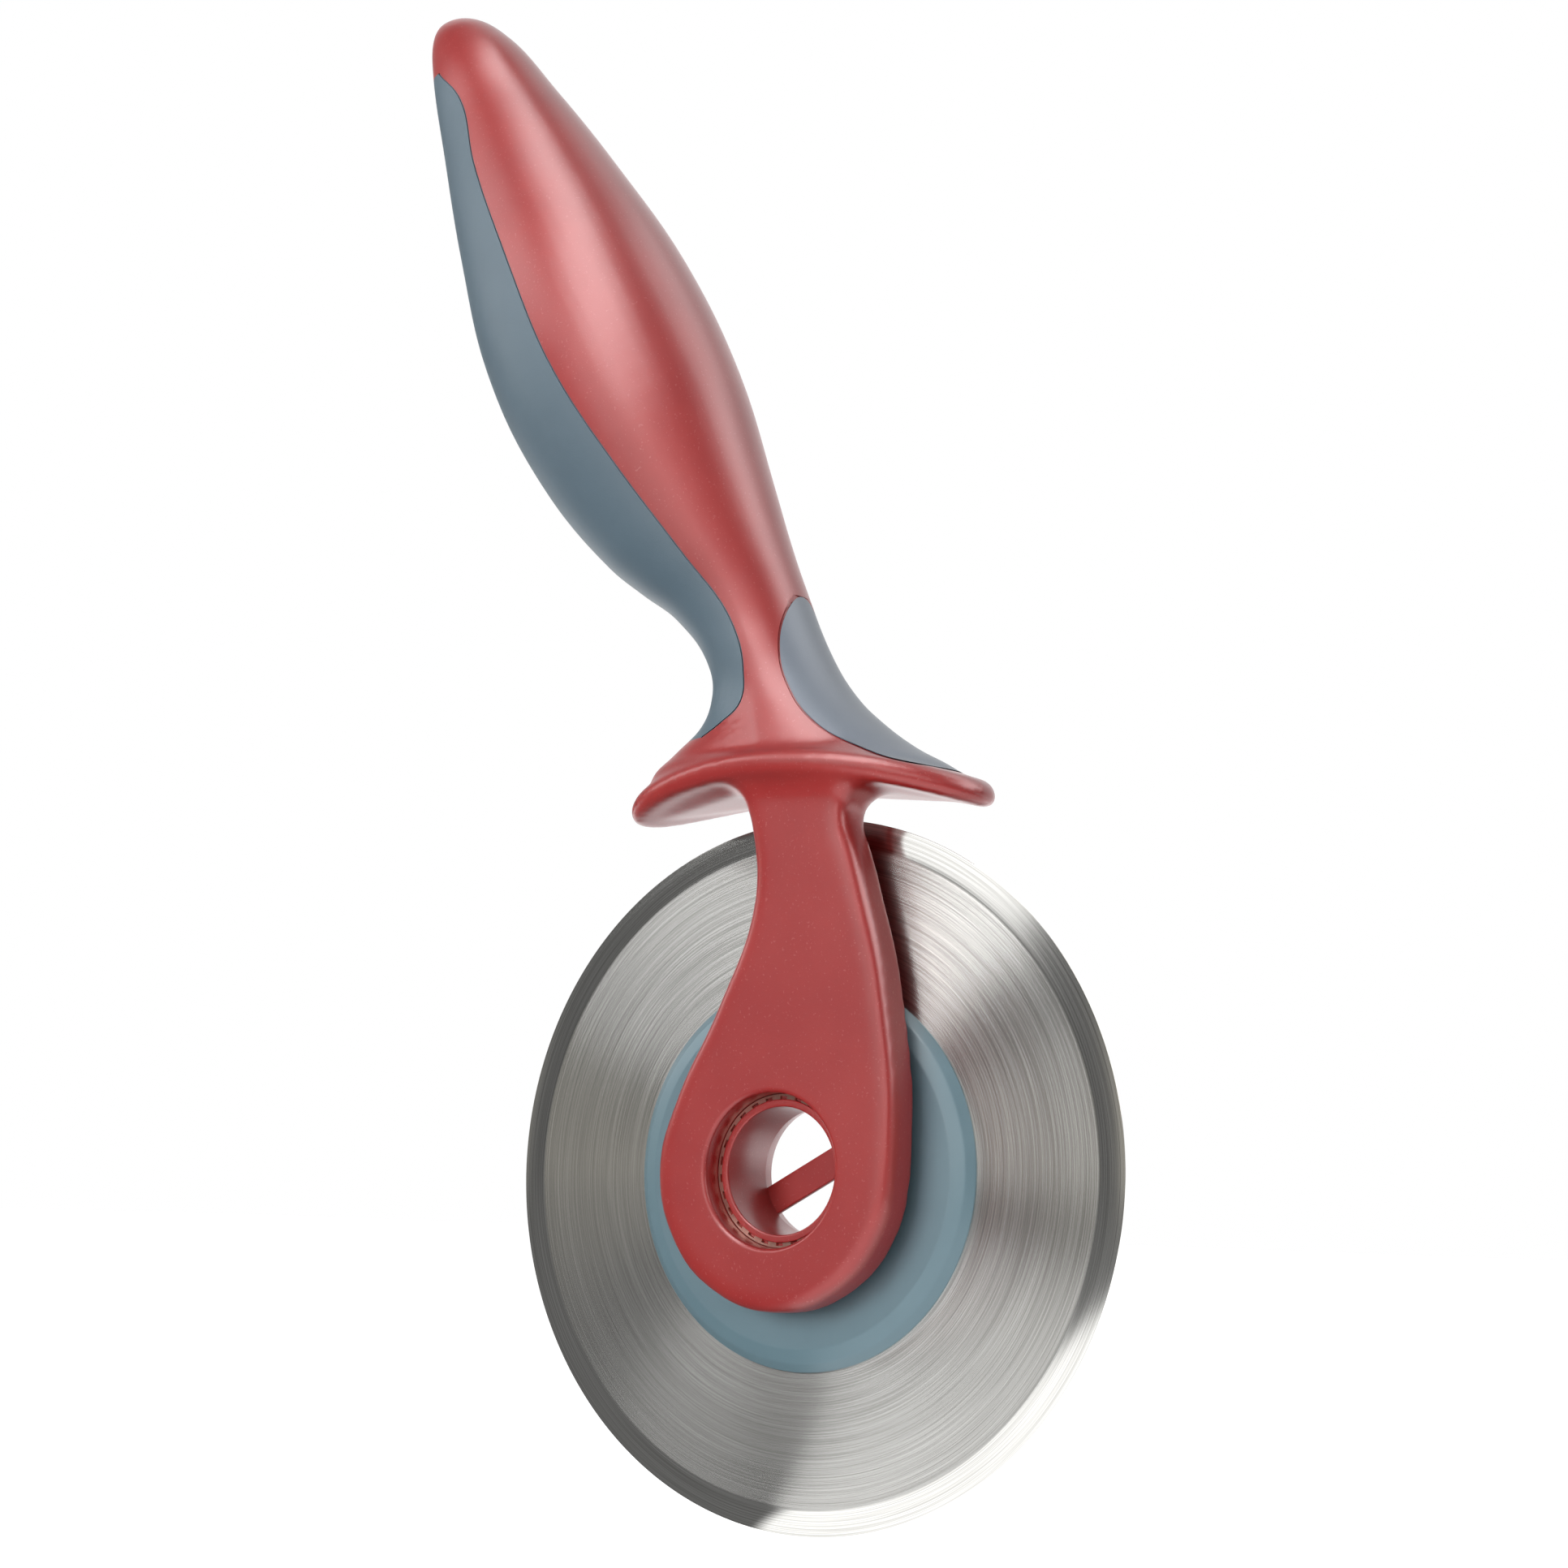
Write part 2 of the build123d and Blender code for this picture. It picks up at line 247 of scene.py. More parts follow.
def rounded(profile, rounds, steps=4):
    """The profile with each named corner swapped for an arc of points."""
    points = []
    count = len(profile)
    for index, corner in enumerate(profile):
        radius = rounds.get(index, 0)
        if not radius:
            points.append(corner)
            continue
        here = Vector(corner)
        before = (Vector(profile[index - 1]) - here).normalized()
        after = (Vector(profile[(index + 1) % count]) - here).normalized()
        half = before.angle(after) / 2
        centre = here + (before + after).normalized() * (radius / sin(half))
        first = here + before * (radius / tan(half)) - centre
        last = here + after * (radius / tan(half)) - centre
        for step in range(steps + 1):
            way = step / steps
            arm = first.lerp(last, way)
            points.append(tuple(centre + arm.normalized() * radius))
    return points


blade_profile = rounded(
    [
        (blade_bore, -blade_half),
        (bevel_start, -blade_half),
        (blade_radius, -blade_edge_half),
        (blade_radius, blade_edge_half),
        (bevel_start, blade_half),
        (blade_bore, blade_half),
    ],
    {
        1: bevel_shoulder_round,
        2: blade_edge_round,
        3: blade_edge_round,
        4: bevel_shoulder_round,
    },
)
brushed_steel = Finish("brushed_steel")


def vectors(operation, *values, output=0):
    """A sum on vectors in the steel's finish."""
    settings = {"operation": operation}
    return brushed_steel.node("VectorMath", settings, dict(enumerate(values)), output)


flat = vectors("MULTIPLY", brushed_steel.place(), (1 / mm, 0.0, 1 / mm))
from_centre = vectors("LENGTH", flat, output="Value")
heading = vectors("NORMALIZE", flat)
around_x, _, around_z = brushed_steel.parts_of(heading)


def arcs(turns_long, per_mm):
    """A pattern of arcs round the wheel: so many to the turn, and so many to the millimetre."""
    places = {"X": around_x * turns_long, "Y": from_centre * per_mm, "Z": around_z * turns_long}
    return brushed_steel.node("CombineXYZ", None, places)


# The face's scratches run round it, so it scatters light outward and inward in a broad fan. The
# fan is made of lobes: each has its lean from the face's normal and its share of the light.
fine_brush = brushed_steel.noise(arcs(1.5, 11.0), 1.0, 2.0, 0.7)
coarse_brush = brushed_steel.noise(arcs(1.0, 4.4), 1.0, 2.0, 0.6)
polish = from_centre.between(bevel_start - 0.5, bevel_start + 0.3)
waver = (fine_brush - 0.5) * 0.10 + (coarse_brush - 0.5) * 0.03
spread = 1 - polish * 0.94
outward_in_world = brushed_steel.node(
    "VectorTransform",
    {"vector_type": "VECTOR", "convert_from": "OBJECT", "convert_to": "WORLD"},
    {0: heading},
)
face_normal = brushed_steel.node("NewGeometry", output="Normal")
brushing = fine_brush.between(0.36, 0.64) * 0.75 + coarse_brush.between(0.30, 0.70) * 0.25
shine = brushed_steel.mix(brushing, (0.41, 0.405, 0.385), (0.69, 0.685, 0.665))
gloss = {
    "Base Color": shine,
    "Metallic": 1.0,
    "Roughness": 0.19 + coarse_brush * 0.05 - polish * 0.08,
}
lobes = [
    (0.0, 0.16),
    (0.12, 0.17),
    (-0.12, 0.17),
    (0.24, 0.14),
    (-0.24, 0.14),
    (0.36, 0.11),
    (-0.36, 0.11),
]


def leaning(lean):
    """The face's normal, leaned out from the centre by a share and by the brushing's waver."""
    out = vectors("SCALE", outward_in_world)
    brushed_steel.join((waver + lean) * spread, out.socket.node.inputs["Scale"])
    return vectors("NORMALIZE", vectors("ADD", face_normal, out))


scattered = Wire(brushed_steel, brushed_steel.shader.outputs[0])
for name, value in gloss.items():
    brushed_steel.join(value, brushed_steel.shader.inputs[name])
brushed_steel.shade(Normal=leaning(lobes[0][0]))
shares = lobes[0][1]
for lean, share in lobes[1:]:
    shares += share
    lobe = brushed_steel.node("BsdfPrincipled", None, {**gloss, "Normal": leaning(lean)})
    scattered = brushed_steel.node("MixShader", None, {0: share / shares, 1: scattered, 2: lobe})
brushed_steel.surface(scattered)

blade = settle(turned(blade_profile, blade_steps), "blade_disc", brushed_steel.owner, 20)
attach(blade, "wheel")
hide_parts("blade")

# Hub: two moulded halves of grey-blue plastic, pinned through the blade. Each has a flat face and
# a soft slope down to a thin rim that lies on the steel.
hub_radius = 28.2
hub_face_radius = 25.0
hub_face = 2.3
hub_rim = 0.6
hub_sleeve = 13.4
hub_bore = 10.68
hub_slope_middle = (26.98, 1.62)
hub_rim_round = 0.12
hub_slope_round = 1.6
hub_face_round = 1.4
hub_steps = 192
sleeve_clearance = 0.05
sleeve_set_back = 0.2


def moulded(name, dark, light, grain_scale, cloud_scale, roughness, spread, grain_depth):
    """A moulded surface: two close shades in soft clouds, under a fine grain."""
    finish = Finish(name)
    place = finish.place()
    grain = finish.noise(place, grain_scale, 3.0, 0.6)
    clouds = finish.noise(place, cloud_scale, 3.0, 0.5)
    finish.shade(
        Base_Color=finish.mix(clouds, dark, light),
        Roughness=roughness + grain * spread,
        Specular_IOR_Level=0.7,
        Normal=finish.bump(grain, grain_depth * mm),
    )
    return finish.owner


hub_plastic = moulded(
    "hub_plastic",
    (0.107, 0.185, 0.224),
    (0.133, 0.221, 0.260),
    grain_scale=5200.0,
    cloud_scale=120.0,
    roughness=0.30,
    spread=0.12,
    grain_depth=0.012,
)


def hub_half(side, inner):
    profile = [
        (inner, side * blade_half),
        (hub_radius, side * blade_half),
        (hub_radius, side * hub_rim),
        (hub_slope_middle[0], side * hub_slope_middle[1]),
        (hub_face_radius, side * hub_face),
        (inner, side * hub_face),
    ]
    return rounded(profile, {2: hub_rim_round, 3: hub_slope_round, 4: hub_face_round}, 5)


sleeve_outside = hub_sleeve - sleeve_clearance
sleeve_front = sleeve_set_back - hub_face
sleeve_profile = [
    (hub_bore, hub_face),
    (hub_bore, sleeve_front),
    (sleeve_outside, sleeve_front),
    (sleeve_outside, hub_face),
]
for name, profile, steps, node in (
    ("hub_front_half", hub_half(-1, hub_bore), hub_steps, "hub_front"),
    ("hub_rear_half", hub_half(1, hub_sleeve), hub_steps, "hub_rear"),
    ("hub_sleeve", sleeve_profile, hub_steps // 2, None),
):
    piece = settle(turned(profile, steps), name, hub_plastic, 40)
    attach(piece, "wheel")
    if node:
        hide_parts(node)

# Handle shell: one red moulding of swell, neck, flare, oval guard and single arm. Its places are
# the sections of the handle: x and z of the middle, lean in degrees, half width and half depth.
swell_half_width = 18.5
swell_half_depth = 15.4
handle_rise = 114.0
handle_sweep = 66.0
neck_x = -8.2
neck_z = 74.0
guard_x = -1.5
guard_z = 57.7
guard_half_length = 30.5
guard_half_depth = 13.6
guard_thickness = 4.0
guard_droop = 5.1
guard_crown_x = -0.9
guard_steps = 128
guard_flat_rings = 10
guard_edge_turn = 12
section_points = 48
section_cuts = 5
thinnest_section = 0.4

handle_sections = [
    (0.00, 0.003, 3, 0.526, 0.579),
    (0.09, 0.096, 14, 0.558, 0.608),
    (0.145, 0.173, 19, 0.673, 0.713),
    (0.20, 0.242, 24, 0.783, 0.813),
    (0.35, 0.402, 29, 0.983, 0.993),
    (0.51, 0.564, 30, 1.001, 1.001),
    (0.67, 0.714, 31, 0.826, 0.826),
    (0.82, 0.852, 31, 0.601, 0.610),
    (0.94, 0.967, 31, 0.382, 0.416),
    (0.980, 1.018, 31, 0.235, 0.26),
    (0.996, 1.052, 31, 0.09, 0.10),
]
flare_sections = [
    (-0.400, -0.25, 0.890, 0.506),
    (-0.260, -0.22, 0.871, 0.593),
    (-0.036, 0.20, 0.767, 0.78),
    (0.198, 0.42, 0.493, 0.58),
    (0.431, 0.48, 0.248, 0.34),
    (0.665, 0.68, 0.103, 0.129),
]


def handle_place(rise, sweep):
    return neck_x - sweep * handle_sweep, neck_z + rise * handle_rise


def handle_rows():
    """Each section from the guard to the tip: x, z, lean, half width, half depth, in mm."""
    neck_width = swell_half_width * handle_sections[0][3]
    neck_depth = swell_half_depth * handle_sections[0][4]
    rows = []
    for height, offset, length, depth in flare_sections:
        rows.append((
            guard_x + offset * (neck_x - guard_x),
            guard_z + height * (neck_z - guard_z),
            0,
            neck_width + length * (guard_half_length - neck_width),
            neck_depth + depth * (guard_half_depth - neck_depth),
        ))
    for rise, sweep, lean, width, depth in handle_sections:
        x, z = handle_place(rise, sweep)
        rows.append((x, z, lean, swell_half_width * width, swell_half_depth * depth))
    return rows


def joined(first, *others):
    fresh()
    for piece in (first, *others):
        piece.select_set(True)
    bpy.context.view_layer.objects.active = first
    bpy.ops.object.join()
    return first


def ellipse(x, z, half_width, half_depth, steps, lean=0):
    """A ring across the handle, leaning to the left by so many degrees."""
    fresh()
    bpy.ops.mesh.primitive_circle_add(
        vertices=steps, radius=mm, location=(x * mm, 0, z * mm), rotation=(0, -radians(lean), 0)
    )
    ring = bpy.context.object
    ring.scale = (half_width, half_depth, 1)
    apply_place()
    return ring


def bridged(rings, **settings):
    """Rings joined into one closed skin with flat ends."""
    piece = joined(*rings)
    edit_all()
    bpy.ops.mesh.bridge_edge_loops(type="SINGLE", **settings)
    bpy.ops.mesh.select_all(action="DESELECT")
    bpy.ops.mesh.select_non_manifold()
    bpy.ops.mesh.fill_holes(sides=0)
    outward()
    return piece


def lofted(rows, inset=0.0):
    """Ellipses across the handle, bridged into one closed skin."""
    rings = []
    for x, z, lean, width, depth in rows:
        if min(width, depth) > inset + thinnest_section:
            rings.append(ellipse(x, z, width - inset, depth - inset, section_points, lean))
    return bridged(rings, number_cuts=section_cuts, interpolation="SURFACE", smoothness=1.0)


def modify(piece, kind, **settings):
    chosen(piece)
    modifier = piece.modifiers.new(kind.lower(), kind)
    for name, value in settings.items():
        setattr(modifier, name, value)
    bpy.ops.object.modifier_apply(modifier=modifier.name)
    return piece


def cut(piece, tool, operation="DIFFERENCE", keep=False):
    modify(piece, "BOOLEAN", operation=operation, object=tool, solver="MANIFOLD")
    if not keep:
        bpy.data.objects.remove(tool)
    return piece


def duplicate(piece):
    copy = piece.copy()
    copy.data = piece.data.copy()
    bpy.context.scene.collection.objects.link(copy)
    return copy


def guard_blank():
    """An oval plate with a full round edge, from rings out from its middle, round and back."""
    half = guard_thickness / 2
    middle = guard_half_depth - thinnest_section
    steps = range(guard_flat_rings)
    flat = [middle - step * (middle - half) / guard_flat_rings for step in steps]
    edge = [radians(way) for way in range(-90, 91, guard_edge_turn)]
    rings = [(inset, -half) for inset in flat]
    rings += [(half - half * cos(way), half * sin(way)) for way in edge]
    rings += [(inset, half) for inset in reversed(flat)]
    plates = []
    for inset, up in rings:
        length, depth = guard_half_length - inset, guard_half_depth - inset
        plates.append(ellipse(guard_x, guard_z + up, length, depth, guard_steps))
    piece = bridged(plates)
    for vertex in piece.data.vertices:
        out = (vertex.co.x / mm - guard_crown_x) / guard_half_length
        vertex.co.z -= guard_droop * out**2 * mm
    return piece


arm_front = -9.9
arm_thickness = 6.6
boss_radius = 19.8
arm_length = 57.5
arm_middle = 3.2
arm_width = 16.8
arm_round = 1.9
arm_left_shares = [
    (0.31, 0.40),
    (-0.03, 0.66),
    (0.01, 0.84),
    (0.09, 0.91),
    (0.17, 0.97),
    (0.26, 1.0),
]
arm_right_shares = [
    (0.36, 0.455),
    (0.14, 0.69),
    (0.03, 0.79),
    (-0.06, 0.86),
    (-0.05, 0.91),
    (0.06, 0.955),
    (0.20, 1.0),
]
boss_right_angles = (-90, -60, -28, 2)
boss_left_angles = (150, 180, 212, 241)
curve_steps = 10


def smooth_line(places, y=0, closed=False):
    """A smooth line of edges through places (x, z) in the plane of this y."""
    fresh()
    bpy.ops.curve.primitive_bezier_curve_add(enter_editmode=True)
    bpy.ops.curve.select_all(action="SELECT")
    bpy.ops.curve.delete(type="VERT")
    bpy.ops.object.mode_set(mode="OBJECT")
    line = bpy.context.object
    line.data.resolution_u = curve_steps
    spline = line.data.splines.new("BEZIER")
    spline.bezier_points.add(len(places) - 1)
    for point, (x, z) in zip(spline.bezier_points, places):
        point.co = (x * mm, z * mm, 0)
        point.handle_left_type = point.handle_right_type = "AUTO"
    spline.use_cyclic_u = closed
    line.rotation_euler = (pi / 2, 0, 0)
    line.location = (0, y * mm, 0)
    chosen(line)
    bpy.ops.object.convert(target="MESH")
    apply_place()
    return bpy.context.object


def drawn_back(depth):
    """The mesh being edited drawn backwards, away from the photographer."""
    bpy.ops.mesh.extrude_region_move(TRANSFORM_OT_translate={"value": (0, depth * mm, 0)})
    outward()


def arm_blank():
    """The arm's outline, filled, given its thickness and rounded in front."""
    places = []
    for angle in boss_right_angles:
        places.append((boss_radius * cos(radians(angle)), boss_radius * sin(radians(angle))))
    for out, up in arm_right_shares:
        places.append((arm_middle + arm_width * (0.5 + out), up * arm_length))
    for out, up in reversed(arm_left_shares):
        places.append((arm_middle - arm_width * (0.5 + out), up * arm_length))
    for angle in boss_left_angles:
        places.append((boss_radius * cos(radians(angle)), boss_radius * sin(radians(angle))))
    piece = smooth_line(places, arm_front, closed=True)
    edit_all()
    bpy.ops.mesh.edge_face_add()
    drawn_back(arm_thickness)
    corners = piece.data.vertices
    for vertex in corners:
        vertex.select = vertex.co.y < (arm_front + arm_thickness / 2) * mm
    for parts in (piece.data.edges, piece.data.polygons):
        for part in parts:
            part.select = all(corners[index].select for index in part.vertices)
    bpy.ops.object.mode_set(mode="EDIT")
    bpy.ops.mesh.bevel(offset=arm_round * mm, segments=6)
    bpy.ops.object.mode_set(mode="OBJECT")
    return piece


outer_form = lofted(handle_rows())

# Guard's underside: the loft runs down through the oval plate, so what hangs out under the plate's
# bend is cut away by a wide cylinder.
bend_radius = guard_half_length**2 / (2 * guard_droop)
bend_steps = 512
fresh()
bpy.ops.mesh.primitive_cylinder_add(
    vertices=bend_steps,
    radius=(bend_radius - guard_thickness / 4) * mm,
    depth=4 * guard_half_length * mm,
    location=(guard_crown_x * mm, 0, (guard_z - bend_radius) * mm),
    rotation=(pi / 2, 0, 0),
)
cut(outer_form, bpy.context.object)

arm_fillet = 3.0
flare_fillet = 0.8
shell_grain = 0.5


def filleted(piece, reach):
    """Inner corners of joined forms filled to a round, by a growth and a shrinking."""
    modify(piece, "REMESH", mode="VOXEL", voxel_size=shell_grain * mm)
    for way in (reach, -reach):
        modify(piece, "DISPLACE", strength=way * mm, mid_level=0.0)
        modify(piece, "REMESH", mode="VOXEL", voxel_size=shell_grain * mm)


guard_and_arm = joined(guard_blank(), arm_blank())
filleted(guard_and_arm, arm_fillet)
shell = joined(outer_form, guard_and_arm)
filleted(shell, flare_fillet)
modify(shell, "SMOOTH", factor=0.5, iterations=8)

# Crease: a soft moulded step that runs down the front of the flare, from the finger grip to the
# guard's rim. The skin falls away on its left, and the step dies away at both ends.
crease_line = [(58.9, -2.2), (62.6, -3.8), (66.4, -5.3), (71.7, -7.2)]
crease_slope = 0.32
crease_width = 4.0
crease_front = -2.0
crease_foot = crease_line[0][0]
crease_head = crease_line[-1][0] + 6.0
foot_fade = 1.5
head_fade = 10.0
for vertex in shell.data.vertices:
    x, y, z = vertex.co / mm
    if y < crease_front and crease_foot < z < crease_head:
        for (low_z, low_x), (high_z, high_x) in zip(crease_line, crease_line[1:]):
            if z <= high_z:
                break
        aside = low_x + (high_x - low_x) * (z - low_z) / (high_z - low_z) - x
        if aside > 0:
            fade = min(1, (z - crease_foot) / foot_fade, (crease_head - z) / head_fade)
            fade = fade * fade * (3 - 2 * fade)
            depth = crease_slope * aside * exp(-aside / crease_width) * fade
            vertex.co -= vertex.normal * depth * mm

# Finger grip and thumb pad: skins of soft grey-blue rubber, moulded into the shell flush with it,
# with a fine joint groove round each. Their outlines are shares of the handle's rise and sweep.
grip_skin = 2.2
grip_outline = [
    (0.900, 0.985),
    (0.845, 0.885),
    (0.735, 0.802),
    (0.560, 0.632),
    (0.405, 0.482),
    (0.265, 0.309),
    (0.140, 0.145),
    (0.045, 0.025),
    (-0.020, -0.010),
    (-0.060, -0.005),
    (-0.083, 0.045),
    (-0.100, 0.100),
]
pad_outline = [
    (0.090, -0.070),
    (0.020, -0.078),
    (-0.034, -0.112),
    (-0.092, -0.200),
    (-0.127, -0.314),
    (-0.147, -0.415),
    (-0.155, -0.520),
]
groove_width = 0.26
groove_depth = 0.20


def border_wall(outline, side_reach=0.0):
    """A wall along a grip's edge, from in front of the handle to behind it."""
    piece = smooth_line([handle_place(*shares) for shares in outline], -guard_half_length)
    edit_all()
    if side_reach:
        reach = (side_reach * mm, 0, 0)
        bpy.ops.mesh.extrude_region_move(TRANSFORM_OT_translate={"value": reach})
        bpy.ops.mesh.select_all(action="SELECT")
    drawn_back(2 * guard_half_length)
    return piece


whole = duplicate(shell)
under_groove = modify(duplicate(whole), "DISPLACE", strength=-groove_depth * mm, mid_level=0.0)
under_skins = lofted(handle_rows(), grip_skin)
rubber = {
    "grain_scale": 6000.0,
    "cloud_scale": 90.0,
    "roughness": 0.40,
    "spread": 0.1,
    "grain_depth": 0.02,
}
finger_rubber = moulded("finger_rubber", (0.070, 0.113, 0.148), (0.088, 0.136, 0.172), **rubber)
# The thumb pad is the same rubber as the finger grip, but its colour is painted lighter and bluer:
# a painted sheen for the lilac highlight along it.
thumb_rubber_painted_sheen = moulded("thumb_rubber_painted_sheen", (0.128, 0.157, 0.202), (0.152, 0.184, 0.230), **rubber)
for name, node, outline, side, material in (
    ("finger_grip_skin", "finger_grip", grip_outline, -1, finger_rubber),
    ("thumb_pad_skin", "thumb_pad", pad_outline, 1, thumb_rubber_painted_sheen),
):
    bed = cut(border_wall(outline, side * handle_sweep), under_skins, keep=True)
    skin = cut(duplicate(whole), bed, "INTERSECT", keep=True)
    cut(shell, bed)
    groove = modify(border_wall(outline), "SOLIDIFY", thickness=groove_width * mm, offset=0.0)
    cut(groove, under_groove, keep=True)
    cut(skin, groove, keep=True)
    cut(shell, groove)
    settle(skin, name, material)
    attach(skin, "frame")
    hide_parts(node)
for piece in (whole, under_skins, under_groove):
    bpy.data.objects.remove(piece)

# Boss's openings: a recess in front with a softly rounded lip, round the axle's nose, and the
# seat behind it that the axle goes through. A ring cuts both, then a plug clears the middle.
recess_radius = 10.9
recess_depth = 3.9
seat_radius = 10.08
lip_round = 0.7
lip_reach = 3.0
lip_lift = 0.001
plug_radius = 8.0
ring_inside = 5.0
past_arm = 2.0
recess_floor = arm_front + recess_depth
seat_end = arm_front + arm_thickness + past_arm
recess_profile = rounded(
    [
        (seat_radius, seat_end),
        (seat_radius, recess_floor),
        (recess_radius, recess_floor),
        (recess_radius, arm_front),
        (recess_radius + lip_reach, arm_front - lip_lift),
        (recess_radius + lip_reach, arm_front - lip_reach),
        (ring_inside, arm_front - lip_reach),
        (ring_inside, seat_end),
    ],
    {3: lip_round},
    6,
)
cut(shell, turned(recess_profile, hub_steps))
fresh()
bpy.ops.mesh.primitive_cylinder_add(
    vertices=hub_steps // 2,
    radius=plug_radius * mm,
    depth=4 * arm_thickness * mm,
    location=(0, arm_front * mm, 0),
    rotation=(pi / 2, 0, 0),
)
cut(shell, bpy.context.object)

red_plastic = Finish("red_plastic")
place = red_plastic.place()
grain = red_plastic.noise(place, 5200.0, 2.0, 0.6)
clouds = red_plastic.noise(place, 60.0, 4.0, 0.55)
specks = red_plastic.noise(place, 2600.0, 1.0, 0.5).between(0.66, 0.74)
red = red_plastic.mix(clouds.between(0.3, 0.7), (0.315, 0.014, 0.014), (0.355, 0.022, 0.020))
red = red_plastic.mix(specks * 0.35, red, (0.50, 0.13, 0.12))
red_plastic.shade(
    Base_Color=red,
    Roughness=0.28 + grain * 0.08,
    Specular_IOR_Level=0.75,
    Normal=red_plastic.bump(grain, 0.012 * mm),
)
settle(shell, "handle_moulding", red_plastic.owner)
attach(shell, "frame")
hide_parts("handle_shell")

# Handle core: the ribbed web inside the shell, moulded first and out of sight. It keeps the thick
# swell from sinking as it cools.


def refinish(nodes, name, dark, light, grain_scale, roughness, spread, metallic=0.0):
    """CAD pieces keep their shape and take two close shades in a fine grain."""
    finish = Finish(name)
    grain = finish.noise(finish.place(), grain_scale, 3.0, 0.6)
    finish.shade(
        Base_Color=finish.mix(grain, dark, light),
        Metallic=metallic,
        Roughness=roughness + grain * spread,
    )
    for node in nodes:
        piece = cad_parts[node]
        piece.data.materials.clear()
        piece.data.materials.append(finish.owner)


refinish(
    ["handle_core"], "core_plastic", (0.26, 0.02, 0.02), (0.32, 0.03, 0.03), 1500.0, 0.5, 0.1
)

# Axle: a hollow red spindle pushed through the wheel and the arm from behind, with a wide rounded
# flange at the back and a flat bar across its far mouth. All its edges are softly rounded.
axle_bore = 9.0
axle_mouth = 9.5
axle_seat = 10.05
axle_bearing = 10.6
axle_flange = 15.0
axle_nose = -6.8
shoulder = -3.3
flange_front = 3.0
flange_rear = 5.5
bar_width = 4.2
bar_thickness = 1.0
bar_angle = 28.5
bar_round = 0.22
axle_steps = 160
axle_rounds = {0: 0.3, 1: 0.15, 5: 0.3, 6: 0.8, 7: 0.5, 8: 1.0}

axle_profile = rounded(
    [
        (axle_bore, axle_nose),
        (axle_seat, axle_nose),
        (axle_seat, shoulder),
        (axle_bearing, shoulder),
        (axle_bearing, flange_front),
        (axle_flange, flange_front),
        (axle_flange, flange_rear),
        (axle_mouth, flange_rear),
        (axle_bore, flange_front),
    ],
    axle_rounds,
    5,
)
axle_piece = turned(axle_profile, axle_steps)
fresh()
bpy.ops.mesh.primitive_cube_add(
    size=mm,
    location=(0, (flange_front + bar_thickness / 2) * mm, 0),
    rotation=(0, -radians(bar_angle), 0),
    scale=(2 * axle_mouth, bar_thickness, bar_width),
)
bar = bpy.context.object
apply_place()
modify(bar, "BEVEL", width=bar_round * mm, segments=3)
cut(axle_piece, bar, "UNION")
settle(axle_piece, "axle_spindle", red_plastic.owner, 30)
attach(axle_piece, "frame")
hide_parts("axle")

# Lock ring: a spring steel ring stamped with teeth, pressed over the axle's nose in the recess. Its
# steel is painted a copper red, a painted reflection of the red walls round it.
refinish(
    ["lock_ring"], "ring_steel", (0.55, 0.32, 0.26), (0.72, 0.48, 0.40), 3000.0, 0.28, 0.15, 1.0
)

# Thrust washers: thin slippery rings, one on each side of the hub, so that the wheel runs clear of
# the arm and of the axle's flange
refinish(
    ["front_washer", "rear_washer"],
    "washer_plastic",
    (0.42, 0.42, 0.41),
    (0.50, 0.50, 0.49),
    3000.0,
    0.4,
    0.1,
)

# Studio: a white floor and backdrop, and a darker room in front of the object. The cards and strips
# in front and to the right shine in the steel and along the handle, as the photographer's lamps do.
floor_gap = 0.1
floor_size = 8.0
floor_glow = 0.8
floor_shade = 0.20
floor_lit = 1.60
floor_behind = 1.8
fresh()
bpy.ops.mesh.primitive_plane_add(
    size=floor_size, location=(0, 0, -(blade_radius + floor_gap) * mm)
)
floor = bpy.context.object
floor.name = "floor"
white_floor = Finish("white_floor")


def ray(finish, kind):
    return finish.node("LightPath", output="Is " + kind + " Ray")


def glowing(finish, strength):
    return finish.node("Emission", None, {"Color": (1, 1, 1), "Strength": strength})


# In reflections the floor is a glow, not a lit surface: dim all over, with a painted pool of light
# close to the wheel on its right, and bright behind it. The camera sees it lit and glowing white,
# with a faint shadow.
floor_x, floor_y, _ = white_floor.parts_of(white_floor.place())
lit_side = (floor_x - floor_y * 0.25).between(-0.009, -0.005)
reach = 1 - (floor_x * floor_x + floor_y * floor_y).between(0.045, 0.070)
behind = floor_y.between(0.04, 0.25)
white_floor.shade(Base_Color=(0.8, 0.8, 0.8), Roughness=1.0)
plain = Wire(white_floor, white_floor.shader.outputs[0])
glow = glowing(white_floor, ray(white_floor, "Camera") * floor_glow)
lit = white_floor.node("AddShader", None, {0: plain, 1: glow})
mirrored = glowing(
    white_floor, floor_shade + floor_lit * lit_side * reach + floor_behind * behind
)
white_floor.surface(
    white_floor.node("MixShader", None, {0: ray(white_floor, "Glossy"), 1: lit, 2: mirrored})
)
floor.data.materials.append(white_floor.owner)

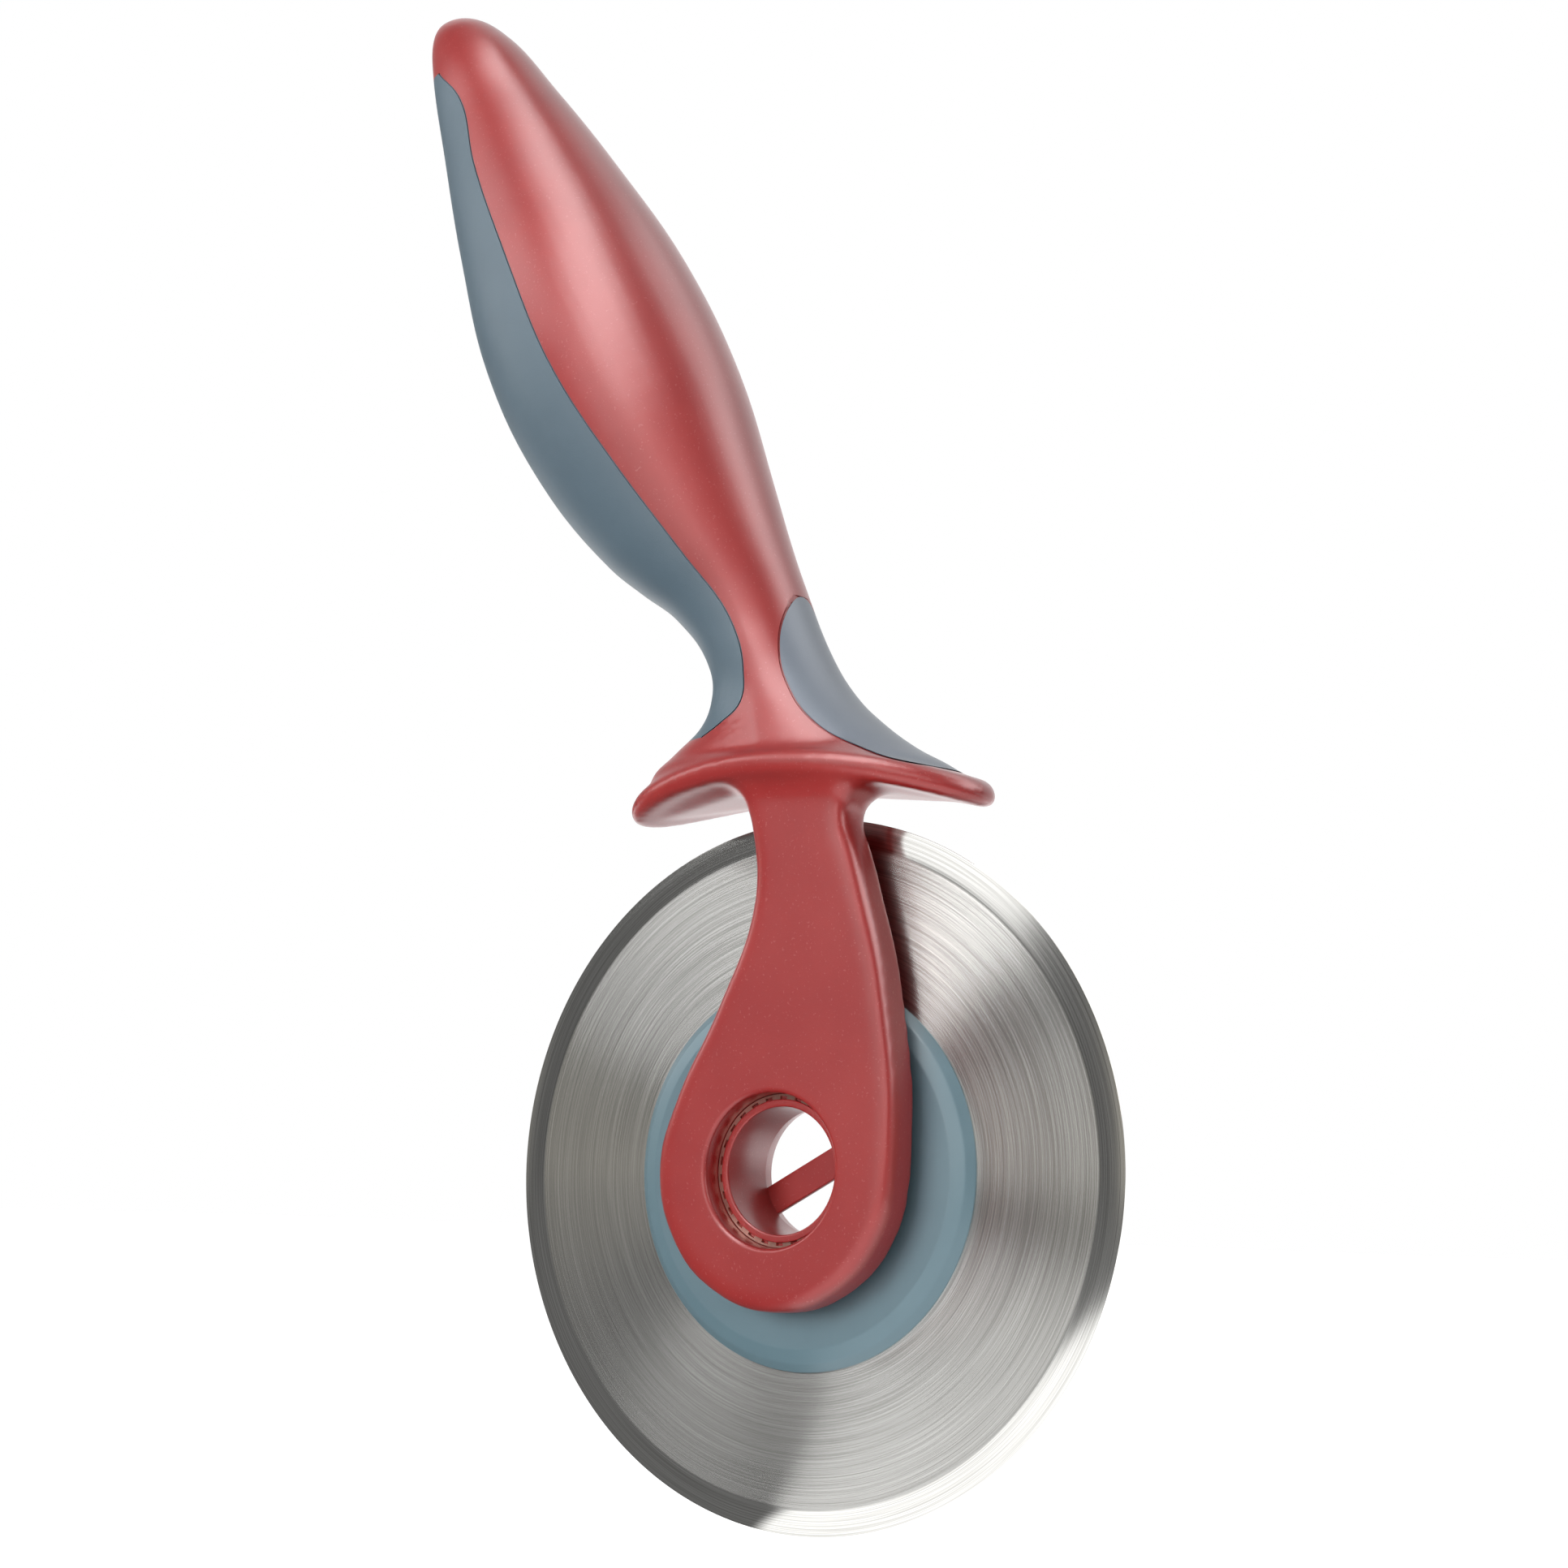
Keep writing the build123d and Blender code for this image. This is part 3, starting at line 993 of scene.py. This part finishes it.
room_dim = 0.16
room_above = 0.06
strips_bright = 0.70
backdrop_bright = 1.18
world = Finish("room", bpy.context.scene.world or bpy.data.worlds.new("room"))
bpy.context.scene.world = world.owner
aside, ahead, above = world.parts_of(world.node("TexCoord", output="Generated"))
walls = 1 - aside.maths("ABSOLUTE").between(0.55, 0.95)
backdrop = ahead.between(-0.10, 0.35) * walls
front_right = aside.between(-0.22, -0.08) * (1 - aside.between(0.45, 0.70))
far_left = 1 - aside.between(-0.92, -0.80)
near_horizon = (1 - above.between(0.15, 0.30)) * (1 - ahead.between(-0.30, 0.0))
strips = (front_right + far_left) * near_horizon
mirrored_room = ray(world, "Glossy") * 0.85 + 0.15
level = room_dim + above.between(0.2, 0.5) * room_above + strips * strips_bright
level = level + backdrop * backdrop_bright * mirrored_room
room_colour = world.mix(strips, (1.0, 1.0, 1.0), (1.0, 0.93, 0.78))
seen = world.mix(ray(world, "Camera"), room_colour, (1.0, 1.0, 1.0))
background = world.tree.nodes["Background"]
world.join(seen, background.inputs["Color"])
world.join(level.maths("MAXIMUM", ray(world, "Camera")), background.inputs["Strength"])

light_setback = 1.02
mirror_x = -0.5425
mirror_z = 0.012


def sheets(name, corners, faces, shine, light):
    """A sheet seen only in reflections, and a sheet just behind it that only lights the object."""
    for ending, distance, radiance in (("_sheen", 1.0, shine), ("_light", light_setback, light)):
        if radiance:
            mesh = bpy.data.meshes.new(name + ending)
            mesh.from_pydata([corner * distance for corner in corners], [], faces)
            card = bpy.data.objects.new(name + ending, mesh)
            bpy.context.scene.collection.objects.link(card)
            finish = Finish(name + ending)
            finish.tree.nodes.remove(finish.shader)
            finish.surface(glowing(finish, radiance))
            mesh.materials.append(finish.owner)
            card.visible_camera = False
            card.visible_diffuse = ending == "_light"
            card.visible_glossy = ending == "_sheen"
            card.visible_shadow = False


def bright_card(name, first_angle, last_angle, near, far, shine, light):
    """A wedge in front of the wheel, about the way in which its face mirrors the camera."""
    turns = ((first_angle, near), (first_angle, far), (last_angle, far), (last_angle, near))
    corners = []
    for turn, out in turns:
        x = mirror_x + out * cos(radians(turn))
        z = mirror_z + out * sin(radians(turn))
        corners.append(Vector((x, -(max(0, 1 - x * x - z * z) ** 0.5), z)))
    sheets(name, corners, [(0, 1, 2), (0, 2, 3)], shine, light)


def strip_light(name, half_width, shine, light, *middles):
    """A strip whose middle runs through these directions from the wheel."""
    middles = [Vector(middle).normalized() for middle in middles]
    last = len(middles) - 1
    corners = []
    for index, middle in enumerate(middles):
        before, after = middles[max(0, index - 1)], middles[min(last, index + 1)]
        across = before.cross(after).normalized() * half_width
        corners += [middle + across, middle - across]
    faces = [(start, start + 1, start + 3, start + 2) for start in range(0, 2 * last, 2)]
    sheets(name, corners, faces, shine, light)


bright_card("left_card", 82, 156, 0.46, 0.70, 3.6, 0.6)
bright_card("front_low_card", 46, 78, 0.28, 0.62, 1.8, 0.6)
bright_card("front_high_card", 42, 64, 0.62, 1.10, 8.0, 0.3)
strip_light("front_strip", 0.10, 2.6, 1.0, (0.20, -0.98, -0.04), (0.22, -0.94, 0.40))
strip_light("side_strip", 0.07, 4.0, 0.5, (0.46, -0.89, -0.04), (0.46, -0.84, 0.32))
strip_light(
    "top_strip", 0.24, 3.2, 0.0, (0.46, -0.08, 0.88), (0.42, 0.22, 0.88), (0.30, 0.50, 0.81)
)
strip_light(
    "right_strip", 0.25, 5.2, 0.0, (0.90, -0.25, 0.35), (0.80, 0.10, 0.55), (0.60, 0.40, 0.70)
)
strip_light("right_soft", 0.25, 0.0, 2.6, (0.94, -0.33, -0.03), (0.90, -0.30, 0.35))
strip_light("front_soft", 0.25, 0.0, 10.0, (-0.25, -0.96, -0.03), (-0.25, -0.96, 0.45))

bpy.context.view_layer.update()
